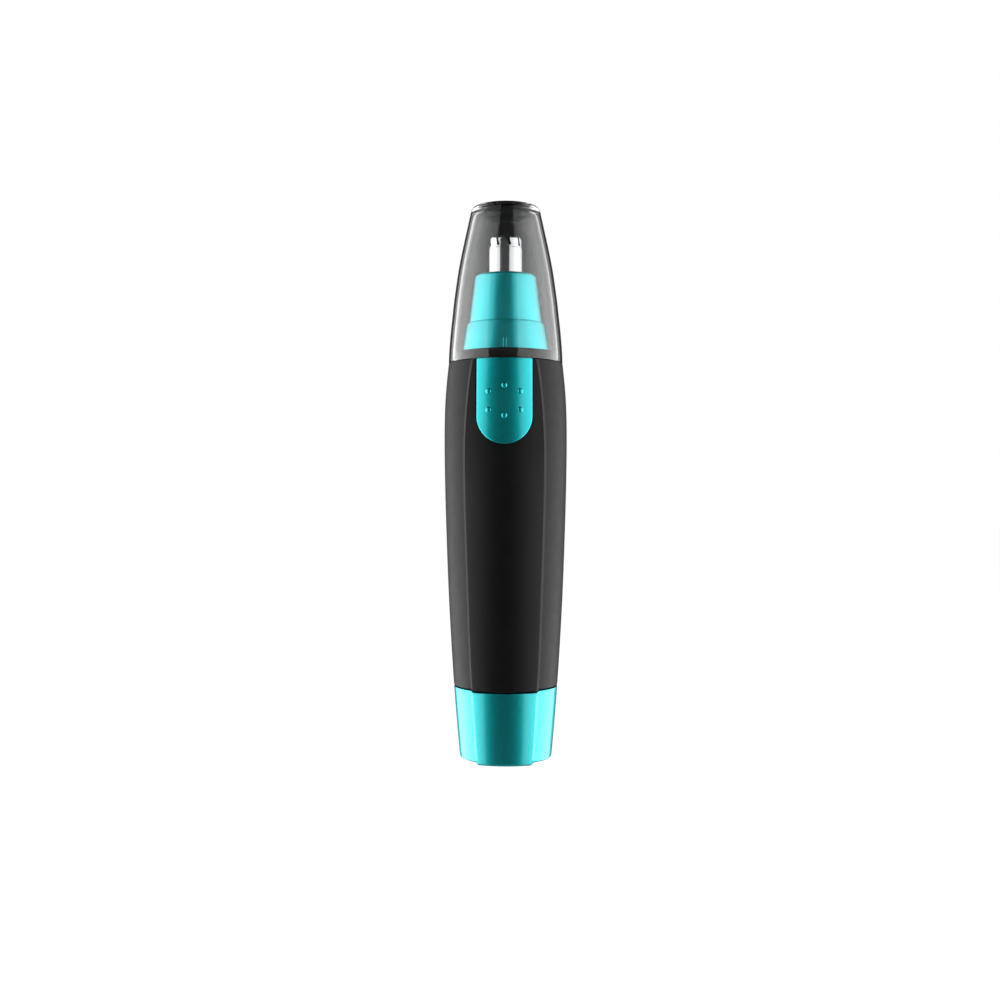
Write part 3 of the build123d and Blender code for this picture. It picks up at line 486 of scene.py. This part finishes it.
# ----------------------------------------------------------------- neck ring
SP = 7.0
neck = lathe("neck_ring_look", rounded(
    [(8.8, 92.4), (11.85, 92.4), (11.85, 93.9), (10.4, 93.9), (10.4, 95.55), (12.35, 95.55), (12.35, 98.0), (SP, 98.0),
     (SP, 102.6), (5.0, 102.6), (5.0, 101.0), (3.4, 101.0), (3.4, 96.6), (8.8, 96.6)],
    [0.1, 0.15, 0.1, 0, 0, 0.1, 0.3, 0.1, 0.3, 0.1, 0, 0.1, 0.1, 0.1]), 192)
put(neck, "neck_ring", "housing", M_NECK)

# ---------------------------------------------------------------------- head
cone = lathe("head_cone_look", rounded(
    [(7.15, 98.6), (8.6, 98.6), (8.6, 105.1), (8.88, 105.1), (7.46, 116.8), (4.15, 116.8), (4.15, 113.65), (6.2, 113.65),
     (6.2, 104.1), (7.15, 104.1), (7.15, 100.55), (7.88, 100.55), (7.88, 99.65), (7.15, 99.65)],
    [0.15, 0.15, 0, 0.12, 0.9, 0.2, 0, 0, 0, 0, 0, 0, 0, 0], 7), 256)
put(cone, "head_cone", "head", M_TEAL_HEAD_PAINTED_LIGHT)

collar = lathe("collar_ring", rounded(
    [(8.62, 98.15), (10.55, 98.15), (9.45, 104.9), (8.62, 104.9)], [0.05, 0.12, 0.2, 0.05], 6), 256)
mark = block("collar_mark", (-0.4, -0.06, -1.2), (0.4, 0.6, 1.2), 0.14)
lean = math.atan2(10.55 - 9.45, 104.9 - 98.15)
mark.data.transform(Matrix.Translation(Vector((0, -(10.55 - math.tan(lean) * 1.35), 99.5)) * MM) @ Matrix.Rotation(-lean, 4, "X"))
fins = []
for s in (1, -1):
    pts = [(8.9, 98.15), (10.6, 98.15), (9.9, 104.0), (9.6, 104.55), (8.9, 104.7)]
    v = [(s * x, y, z) for y in (-0.35, 0.35) for x, z in pts]
    n = len(pts)
    f = [list(range(n)), list(range(n, 2 * n))] + [[i, (i + 1) % n, n + (i + 1) % n, n + i] for i in range(n)]
    fins.append(new_object(f"fin{s}", v, f))
collar = join([collar, mark] + fins, "head_collar_look")
put(collar, "head_collar", "lock_ring", M_TEAL_HEAD_PAINTED_LIGHT)

tube = lathe("cutter_tube_look", rounded(
    [(3.82, 113.1), (5.8, 113.1), (5.8, 113.6), (4.12, 113.6), (4.12, 123.2), (4.0, 123.3), (4.0, 126.2), (0.0, 126.2),
     (0.0, 125.85), (3.7, 125.85), (3.7, 123.3), (3.82, 123.2)],
    [0.05, 0.05, 0.05, 0.05, 0.03, 0.03, 1.1, 0, 0, 0.8, 0, 0], 9), 288)
cut_v, cut_f, base = [], [], 0
for i in range(9):
    a = math.radians(-78.9 + 40 * i)
    rot = Matrix.Rotation(a, 4, "Z")
    # a leaning slot: its outline in the wall's plane, x across the slot and z up
    outline = [(-0.60, 127.4), (-0.28, 125.35), (-0.19, 124.75), (-0.10, 124.2)]
    outline += [(0.28 - 0.38 * math.cos(t), 123.95 - 0.38 * math.sin(t)) for t in np.linspace(0, math.pi, 9)]
    outline += [(0.50, 124.4), (0.37, 124.75), (0.28, 125.35), (-0.04, 127.4)]
    n = len(outline)
    for r in (2.05, 4.9):
        for x, z in outline:
            p = rot @ Vector((r, x, z))
            cut_v.append(tuple(p))
    cut_f.append([base + k for k in range(n)])
    cut_f.append([base + n + k for k in range(n)])
    cut_f += [[base + k, base + (k + 1) % n, base + n + (k + 1) % n, base + n + k] for k in range(n)]
    base += 2 * n
slots = new_object("slots", cut_v, cut_f)
tube = boolean(tube, slots)
put(tube, "cutter_tube", "head", M_TUBE)
# the bore and the slots' walls get a dark, dull steel: painted shade that keeps the slots black
tube.data.materials.append(M_TUBE_BORE_SHADE)
for f in tube.data.polygons:
    c, nrm = f.center / MM, f.normal
    radial = Vector((c.x, c.y, 0)).normalized()
    inside = c.xy.length < 3.95 and nrm.z < 0.2 and nrm.dot(radial) < 0.2
    slot_wall = c.z > 123.2 and abs(nrm.dot(radial)) < 0.25 and abs(nrm.z) < 0.9 and c.xy.length > 2.1
    if inside or slot_wall:
        f.material_index = 1


# -------------------------------------------------------------------- switch
def tongue(name, grow, top, outer_fn, inner_fn, rr, n_side=26, n_arc=40, n_top=26, corner=0.6):
    """Solid with the tongue's outline; outer and inner surfaces are depths over (x, z)."""
    arc_z, a0 = 81.8, 6.5 + grow
    ds = [0.0] + ([rr * (1 - math.cos(t)) for t in np.linspace(0, math.pi / 2, 7)[1:]] if rr > 0 else [])
    ds += list(np.linspace(ds[-1] if rr > 0 else 0, a0, 16)[1:])
    rings = []
    for d in ds:
        a, zt, rc = a0 - d, top - d, max(corner - d, 0.0)
        rc = min(rc, a)
        ring = []
        for z in np.linspace(zt - rc, arc_z, n_side, endpoint=False):
            ring.append((-a, z))
        for t in np.linspace(math.pi, 2 * math.pi, n_arc, endpoint=False):
            ring.append((a * math.cos(t), arc_z + a * math.sin(t)))
        for z in np.linspace(arc_z, zt - rc, n_side, endpoint=False):
            ring.append((a, z))
        for t in np.linspace(0, math.pi / 2, 7):
            ring.append((a - rc + rc * math.cos(t), zt - rc + rc * math.sin(t)))
        for x in np.linspace(a - rc, -(a - rc), n_top)[1:-1]:
            ring.append((x, zt))
        for t in np.linspace(math.pi / 2, math.pi, 7)[:-1]:
            ring.append((-(a - rc) + rc * math.cos(t), zt - rc + rc * math.sin(t)))
        rings.append(ring)
    m = len(rings[0])
    verts, faces = [], []
    for d, ring in zip(ds, rings):
        drop = rr - math.sqrt(max(rr * rr - (rr - d) ** 2, 0)) if d < rr else 0.0
        verts += [(x, -(outer_fn(x, z) - drop), z) for x, z in ring]
    k = len(rings)
    for ring in rings:
        verts += [(x, -inner_fn(x, z), z) for x, z in ring]
    for layer in (0, k):
        for i in range(k - 1):
            for j in range(m):
                l = (j + 1) % m
                faces.append([(layer + i) * m + j, (layer + i) * m + l, (layer + i + 1) * m + l, (layer + i + 1) * m + j])
    for j in range(m):
        l = (j + 1) % m
        faces.append([j, l, k * m + l, k * m + j])
    return new_object(name, verts, faces, 40)


def clear_depth(x, z):
    """Lowest depth that clears the bed and panel over the switch's travel."""
    z = min(z - 3.0, 95.4)
    return panel_depth(x, z, 0.12 - max(0.0, F_BED(z)))


PROUD = 0.90


def tongue_depth(x, z):
    """The tongue's crowned face: it falls away from the panel's curve towards its long edges."""
    u = x / 6.5
    return panel_depth(x, min(z, 95.5), PROUD) - 0.20 * u * u - 0.20 * u ** 4


button = tongue("button_face", 0.0, 95.45, tongue_depth, clear_depth, 0.14, corner=0.35)
parts = [button]
for x, z in ((0, 88.9), (0, 81.9), (3.73, 87.55), (-3.73, 87.55), (3.73, 83.2), (-3.73, 83.2)):
    d = tongue_depth
    nrm = Vector((-(d(x + 0.3, z) - d(x - 0.3, z)) / 0.6, -1, -(d(x, z + 0.5) - d(x, z - 0.5)))).normalized()
    dot = lathe(f"dot_{x}_{z}", [(0, -0.2), (0.67, -0.2), (0.67, 0.06)] + [
        (0.67 * math.cos(t), 0.06 + 0.32 * math.sin(t)) for t in np.linspace(0, math.pi / 2, 9)[1:-1]] + [(0, 0.38)], 40)
    m = Matrix.Translation(Vector((x, -d(x, z), z)) * MM) @ nrm.to_track_quat("Z", "Y").to_matrix().to_4x4()
    dot.data.transform(m)
    parts.append(dot)
parts.append(block("stem", (-1.5, -15.6, 84.5), (1.5, -10.1, 87.5), 0.12))
button = join(parts, "switch_button_look")
put(button, "switch_button", "switch", M_TEAL_SWITCH)


# ------------------------------------------------------------------- housing
def shell_rows():
    """(z, outer inset, inner radius) from bottom to top."""
    rows = []
    rb, rt = 0.42, 0.18
    for t in np.linspace(0, math.pi / 2, 7)[:-1]:
        rows.append((Z_HOUSING_BOTTOM + rb * (1 - math.cos(t)), rb * (1 - math.sin(t)), 9.65))
    for z in np.linspace(Z_HOUSING_BOTTOM + rb, 18.95, 4):
        rows.append((z, 0, 9.65))
    for z in np.linspace(18.95, 94.0, 130):
        rows.append((z, 0, F_R(z) - WALL))
    for z in np.linspace(94.0, Z_HOUSING_TOP - rt, 5):
        rows.append((z, 0, 10.45))
    for t in np.linspace(0, math.pi / 2, 6)[1:]:
        rows.append((Z_HOUSING_TOP - rt * (1 - math.sin(t)), rt * (1 - math.cos(t)), 10.45))
    return rows


def half_shell(name, front):
    verts, faces = [], []
    rows = shell_rows()
    ring_n = None
    for z, inset, rin in rows:
        sec = half_section(z, inset)
        # rounded lips at the parting line
        out = []
        lip = 0.13
        x0 = sec[0][0]
        out += [(x0 - 0.5 * lip - 0.06, -0.015), (x0 - 0.35 * lip, -0.05), (x0 - 0.1 * lip, -0.12), (x0, -0.22)]
        out += [p for p in sec if p[1] < -0.3 or abs(p[0]) < x0 * 0.98]
        out += [(-x, y) for x, y in reversed(out[:4])]
        n = len(out)
        a0 = [math.atan2(y, x) for x, y in out]
        inn = [(rin * math.cos(a), rin * math.sin(a)) for a in a0]
        inn[0] = (math.sqrt(rin * rin - 0.015 ** 2), -0.015)
        inn[-1] = (-inn[0][0], -0.015)
        ring = out + inn[::-1]
        if ring_n is None:
            ring_n = len(ring)
        assert len(ring) == ring_n, (name, z, len(ring), ring_n)
        sgn = 1 if front else -1
        verts += [(x, y * sgn, z) for x, y in ring]
    n, m = ring_n // 2, ring_n
    for i in range(len(rows) - 1):
        for j in range(m):
            l = (j + 1) % m
            faces.append([i * m + j, i * m + l, (i + 1) * m + l, (i + 1) * m + j])
    for i in (0, len(rows) - 1):
        for j in range(n - 1):
            faces.append([i * m + j, i * m + j + 1, i * m + m - 2 - j, i * m + m - 1 - j])
    return new_object(name, verts, faces, 40)


front = half_shell("housing_front_look", True)
bed = tongue("bed", 0.32, 96.6, lambda x, z: 19.0, lambda x, z: panel_depth(x, min(z, 95.5), -F_BED(min(z, 95.5)) - 0.3), 0.0, corner=0.0)
front = boolean(front, bed)
front = boolean(front, block("stem_slot", (-1.7, -18, 81.2), (1.7, -9, 87.8), 0))
put(front, "housing_front", "housing", M_BLACK)
rear = half_shell("housing_rear_look", False)
put(rear, "housing_rear", "housing", M_BLACK)


# ------------------------------------------------------------------ base cap
def base_mesh():
    verts, faces = [], []
    loops = []

    def ring(z, inset):
        sec = half_section(z, inset)
        full = sec + [(-x, -y) for x, y in sec[1:-1]]
        return [(x, y, z) for x, y in full]

    rb = 0.45
    first = ring(0.0, rb)
    for s in (0.0, 0.3, 0.6, 0.85, 0.96):
        loops.append([(x * s, y * s, 0.0) for x, y, z in first])
    for t in np.linspace(0, math.pi / 2, 9):
        loops.append(ring(rb * (1 - math.cos(t)), rb * (1 - math.sin(t))))
    for z in np.linspace(rb, Z_BASE_TOP - 0.15, 26)[1:]:
        loops.append(ring(z, 0.0))
    for t in np.linspace(0, math.pi / 2, 4)[1:]:
        loops.append(ring(Z_BASE_TOP - 0.15 * (1 - math.sin(t)), 0.15 * (1 - math.cos(t))))
    angles = [math.atan2(y, x) for x, y, z in first]
    for rad, z in ((10.95, 17.2), (10.95, 14.75), (11.5, 14.75), (11.5, 13.85), (10.95, 13.85), (10.95, 9.8), (9.55, 9.8), (9.55, 1.85), (5, 1.85), (0, 1.85)):
        loops.append([(rad * math.cos(a), rad * math.sin(a), z) for a in angles])
    m = len(loops[0])
    for lp in loops:
        verts += lp
    for i in range(len(loops) - 1):
        for j in range(m):
            l = (j + 1) % m
            faces.append([i * m + j, i * m + l, (i + 1) * m + l, (i + 1) * m + j])
    return new_object("base_shell", verts, faces, 40)


base_shell = base_mesh()
slots = []
for y in (4.2, -4.2):
    v, f = [], []
    ring = [(3.4 + 0.6 * math.cos(t), 0.6 * math.sin(t)) for t in np.linspace(-math.pi / 2, math.pi / 2, 13)]
    ring += [(-x, -b) for x, b in ring]
    n = len(ring)
    for z in (-1.0, 0.35):
        v += [(x, y + b, z) for x, b in ring]
    f = [list(range(n)), list(range(n, 2 * n))] + [[i, (i + 1) % n, n + (i + 1) % n, n + i] for i in range(n)]
    slots.append(new_object(f"finger{y}", v, f))
base_shell = boolean(base_shell, join(slots, "fingers"))
key = block("base_key", (-0.8, 10.15, 9.7), (0.8, 11.2, 12.8), 0.12)
base_cap = join([base_shell, key], "base_cap_look")
put(base_cap, "base_cap", "base", M_TEAL)

# ------------------------------------------------------- carried-over pieces
CARRIED = {
    "shaft_seal": M_RUBBER, "head_o_ring": M_RUBBER, "base_o_ring": M_RUBBER,
    "battery_frame": M_FRAME, "motor_frame": M_FRAME,
    "battery_cell": M_CELL, "battery_sleeve": M_WRAP,
    "positive_contact": M_BRASS, "negative_strip": M_BRASS, "motor_strip": M_BRASS, "switch_contact": M_BRASS,
    "motor_brushes": M_BRASS, "frame_screws": M_SCREW, "motor_can": M_CAN, "motor_magnets": M_MAGNET,
    "motor_bushes": M_BRONZE, "motor_end_cap": M_ENDCAP, "motor_shaft": M_SHAFT, "motor_armature": M_STACK,
    "motor_windings": M_COPPER, "motor_commutator": M_COMM, "drive_coupling": M_ACETAL, "guide_bush": M_ACETAL,
    "head_retainer": M_NECK, "inner_blade": M_BLADE, "blade_carrier": M_ACETAL, "blade_spring": M_SPRING,
    "switch_slider": M_NECK, "base_contact": M_SPRING, "battery_spring": M_SPRING,
}
for node, mat in CARRIED.items():
    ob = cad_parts[node]
    ob.data.materials.clear()
    ob.data.materials.append(mat)
    lim = math.radians(34)
    bm = bmesh.new()
    bm.from_mesh(ob.data)
    for f in bm.faces:
        f.smooth = True
    for e in bm.edges:
        e.smooth = not (len(e.link_faces) == 2 and e.calc_face_angle(0.0) > lim)
    bm.to_mesh(ob.data)
    bm.free()

# ---------------------------------------------------------------------- stage
floor_v = [(-4000, -4000, -27), (4000, -4000, -27), (4000, 4000, -27), (-4000, 4000, -27)]
floor = new_object("floor", floor_v, [[0, 1, 2, 3]])
fm = Nodes("floor_pale")
fm.set(Roughness=0.9, Specular_IOR_Level=0.0)
fm.colours(fm.noise(3, 2), (0.20, 0.20, 0.20), (0.22, 0.22, 0.22))
fm.bsdf.inputs["Emission Color"].default_value = (1, 1, 1, 1)
fm.bsdf.inputs["Emission Strength"].default_value = 1.0
floor.data.materials.append(fm.mat)
floor.visible_glossy = False
floor.visible_diffuse = False
floor.visible_transmission = False
floor.visible_shadow = False


def softbox(name, edge, az1, radius, z0, z1, levels):
    """A curved softbox round the object. edge is its front edge as (height, azimuth) pairs, az1 the azimuth
    where it ends at the back (0 is in front, + to the right), levels its strength as rows of
    (height, [(azimuth, strength), ...])."""
    n, m = 56, 24
    verts, faces = [], []
    for i in range(n + 1):
        for j in range(m + 1):
            z = z0 + (z1 - z0) * j / m
            az0 = float(np.interp(z, [e[0] for e in edge], [e[1] for e in edge]))
            a = math.radians(az0 + (az1 - az0) * i / n)
            verts.append((radius * math.sin(a), -radius * math.cos(a), z))
    for i in range(n):
        for j in range(m):
            a = i * (m + 1) + j
            faces.append([a, a + 1, a + m + 2, a + m + 1])
    ob = new_object(name, verts, faces)
    mat = bpy.data.materials.new(name)
    mat.use_nodes = True
    nt = mat.node_tree
    nt.nodes.clear()
    out = nt.nodes.new("ShaderNodeOutputMaterial")
    em = nt.nodes.new("ShaderNodeEmission")
    at = nt.nodes.new("ShaderNodeAttribute")
    at.attribute_name = "level"
    nt.links.new(at.outputs["Fac"], em.inputs["Strength"])
    nt.links.new(em.outputs[0], out.inputs[0])
    ob.data.materials.append(mat)
    lv = ob.data.attributes.new("level", "FLOAT", "POINT")
    for i, v in enumerate(ob.data.vertices):
        az = abs(math.degrees(math.atan2(v.co.x, -v.co.y)))
        rows = [float(np.interp(az, [a for a, _ in row], [s for _, s in row])) for _, row in levels]
        lv.data[i].value = float(np.interp(v.co.z / MM, [h for h, _ in levels], rows))
    ob.visible_camera = False
    return ob


softbox("softbox_left", [(-800, -44), (-250, -40), (-60, -36), (50, -37), (130, -33), (175, -31), (235, -37.5), (480, -36), (600, -17), (700, -15)], -143, 620, -800, 700, [
    (-90, [(15, 0.88), (40, 0.90), (52, 1.02), (65, 1.45), (80, 2.05), (95, 2.60), (116, 2.7), (130, 2.00), (143, 1.30)]),
    (-30, [(15, 0.80), (40, 0.80), (52, 0.92), (65, 1.30), (80, 1.75), (95, 2.10), (116, 2.1), (130, 1.60), (143, 1.15)]),
    (150, [(15, 0.74), (40, 0.76), (52, 0.88), (65, 1.22), (80, 1.65), (95, 1.90), (116, 1.95), (130, 1.55), (143, 1.15)]),
    (240, [(15, 1.02), (40, 1.02), (52, 1.08), (65, 1.30), (80, 1.58), (95, 1.62), (116, 1.58), (130, 1.32), (143, 1.00)]),
    (310, [(15, 0.80), (40, 0.84), (52, 0.92), (65, 1.18), (80, 1.55), (95, 1.52), (116, 1.40), (130, 1.10), (143, 0.80)]),
    (400, [(15, 0.80), (36, 0.84), (48, 1.05), (62, 1.25), (80, 1.42), (95, 1.32), (116, 1.20), (130, 1.02), (143, 0.84)]),
    (520, [(15, 0.50), (30, 0.55), (45, 0.62), (60, 0.80), (80, 1.00), (95, 1.06), (116, 1.14), (130, 1.25), (143, 1.15)]),
])
softbox("softbox_right", [(-800, 39), (-250, 35), (-60, 31), (50, 33), (130, 28), (175, 25), (235, 27), (700, 27)], 143, 620, -800, 700, [
    (-90, [(15, 0.90), (40, 0.92), (52, 1.02), (65, 1.42), (80, 1.90), (95, 2.35), (116, 2.4), (130, 1.75), (143, 1.05)]),
    (-30, [(15, 0.84), (40, 0.84), (52, 0.96), (65, 1.25), (80, 1.58), (95, 1.85), (116, 1.9), (130, 1.40), (143, 0.85)]),
    (150, [(15, 0.78), (40, 0.80), (52, 0.92), (65, 1.20), (80, 1.50), (95, 1.75), (116, 1.8), (130, 1.32), (143, 0.85)]),
    (240, [(15, 1.02), (40, 1.02), (52, 1.09), (65, 1.28), (80, 1.48), (95, 1.46), (116, 1.42), (130, 1.08), (143, 0.72)]),
    (310, [(15, 0.84), (40, 0.90), (52, 1.02), (65, 1.24), (80, 1.50), (95, 1.42), (116, 1.28), (130, 0.90), (143, 0.58)]),
    (400, [(15, 0.80), (36, 0.84), (48, 1.05), (62, 1.28), (80, 1.36), (95, 1.19), (116, 1.06), (130, 0.84), (143, 0.62)]),
    (520, [(15, 0.50), (30, 0.55), (45, 0.62), (60, 0.80), (80, 0.95), (95, 0.97), (116, 1.02), (130, 0.92), (143, 0.84)]),
])
softbox("front_fill", [(-800, -46), (-250, -42), (50, -37), (175, -31), (235, -37.5), (700, -36)], 44, 640, -800, 700, [
    (60, [(0, 0.03), (180, 0.03)]), (180, [(0, 0.04), (180, 0.04)]), (240, [(0, 0.09), (180, 0.09)]),
    (310, [(0, 0.04), (180, 0.04)]), (420, [(0, 0.015), (180, 0.015)]),
])
for name, sgn in (("back_left", -1), ("back_right", 1)):
    softbox(name, [(-800, 143.3 * sgn), (700, 143.3 * sgn)], 163 * sgn, 620, -800, 700, [(0, [(143, 0.12), (156, 0.11), (163, 0.0)])])


def low_fill(name, r0, r1, z, strength):
    """A flat ring of light under the object, so that its lower edge isn't black."""
    verts, faces, n = [], [], 96
    for k in range(n):
        a = 2 * math.pi * k / n
        verts += [(r0 * math.cos(a), r0 * math.sin(a), z), (r1 * math.cos(a), r1 * math.sin(a), z)]
    for k in range(n):
        l = (k + 1) % n
        faces.append([2 * k, 2 * k + 1, 2 * l + 1, 2 * l])
    ob = new_object(name, verts, faces)
    mat = bpy.data.materials.new(name)
    mat.use_nodes = True
    nt = mat.node_tree
    nt.nodes.clear()
    out, em = nt.nodes.new("ShaderNodeOutputMaterial"), nt.nodes.new("ShaderNodeEmission")
    em.inputs["Strength"].default_value = strength
    nt.links.new(em.outputs[0], out.inputs[0])
    ob.data.materials.append(mat)
    ob.visible_camera = False
    ob.visible_transmission = False
    return ob


low_fill("low_fill", 40, 470, -300, 0.25)

world = bpy.data.worlds.new("studio")
scene.world = world
world.use_nodes = True
wt = world.node_tree
wt.nodes.clear()
wo = wt.nodes.new("ShaderNodeOutputWorld")
mixw = wt.nodes.new("ShaderNodeMixShader")
lpw = wt.nodes.new("ShaderNodeLightPath")
bg_dark, bg_white = wt.nodes.new("ShaderNodeBackground"), wt.nodes.new("ShaderNodeBackground")
bg_dark.inputs[0].default_value = (1, 1, 1, 1)
bg_dark.inputs[1].default_value = 0.012
bg_white.inputs[0].default_value = (1, 1, 1, 1)
bg_white.inputs[1].default_value = 1.0
wt.links.new(lpw.outputs["Is Camera Ray"], mixw.inputs[0])
wt.links.new(bg_dark.outputs[0], mixw.inputs[1])
wt.links.new(bg_white.outputs[0], mixw.inputs[2])
wt.links.new(mixw.outputs[0], wo.inputs[0])

scene.view_settings.view_transform = "Standard"
scene.view_settings.look = "None"
scene.view_settings.exposure = 0.0
scene.view_settings.gamma = 1.0

# --------------------------------------------------------------------- camera
az, dist, height, side = math.radians(1.35), 305.0, 62.3, -1.38
cam_data = bpy.data.cameras.new("camera")
cam = bpy.data.objects.new("camera", cam_data)
scene.collection.objects.link(cam)
cam_data.lens = 45.0
cam_data.sensor_width = 36.0
cam_data.clip_start, cam_data.clip_end = 0.01, 20
right = Vector((math.cos(az), math.sin(az), 0))
back = Vector((math.sin(az), -math.cos(az), 0))
cam.location = (back * dist + right * side + Vector((0, 0, height))) * MM
cam.rotation_mode = "QUATERNION"
cam.rotation_quaternion = (-back).to_track_quat("-Z", "Y")
scene.camera = cam
